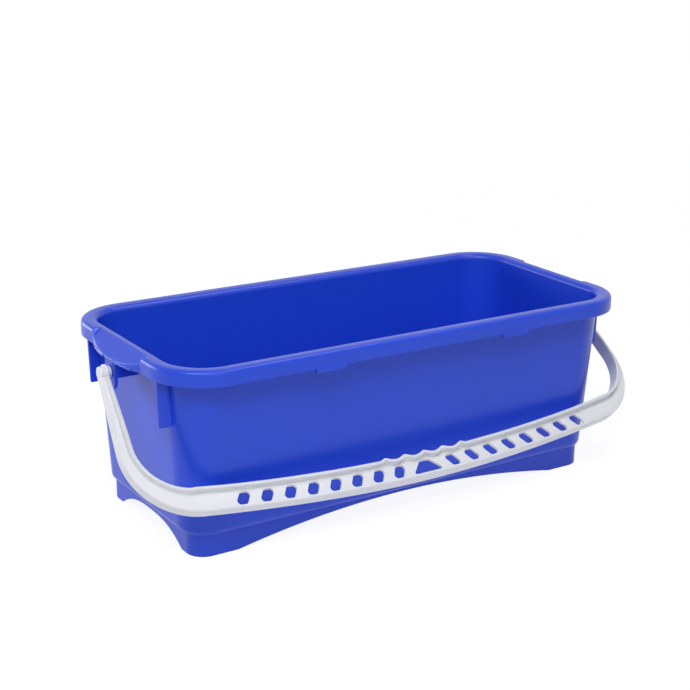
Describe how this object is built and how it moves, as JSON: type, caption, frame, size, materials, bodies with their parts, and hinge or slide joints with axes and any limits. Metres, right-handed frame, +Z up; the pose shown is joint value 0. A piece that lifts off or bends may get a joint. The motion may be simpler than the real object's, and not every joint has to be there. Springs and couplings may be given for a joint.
{
  "type": "window cleaning bucket",
  "caption": "Long rectangular window-cleaning bucket with a rolled channel rim, an arched foot skirt and a hanging bail handle with a holed, scalloped grip.",
  "frame": {"origin": "on the ground plane, under the middle of the bucket with its handle hanging in front", "axes": "+X along the bucket's length, -Y to the front where the handle hangs, +Z up"},
  "size_m": [0.5784, 0.2572, 0.1868],
  "materials": {
    "tub_blue": "glossy blue injection-moulded polypropylene",
    "handle_grey": "light grey injection-moulded polypropylene, semi-gloss"
  },
  "bodies": {
    "tub_body": {"tub": "tub_blue"},
    "bail_body": {"bail_handle": "handle_grey"}
  },
  "joints": [
    {"name": "bail_pivot", "type": "hinge", "parent": "tub_body", "child": "bail_body", "pos_m": [0, 0.00587, 0.16], "axis": [-1, 0, 0], "range_deg": [0, 259]}
  ]
}
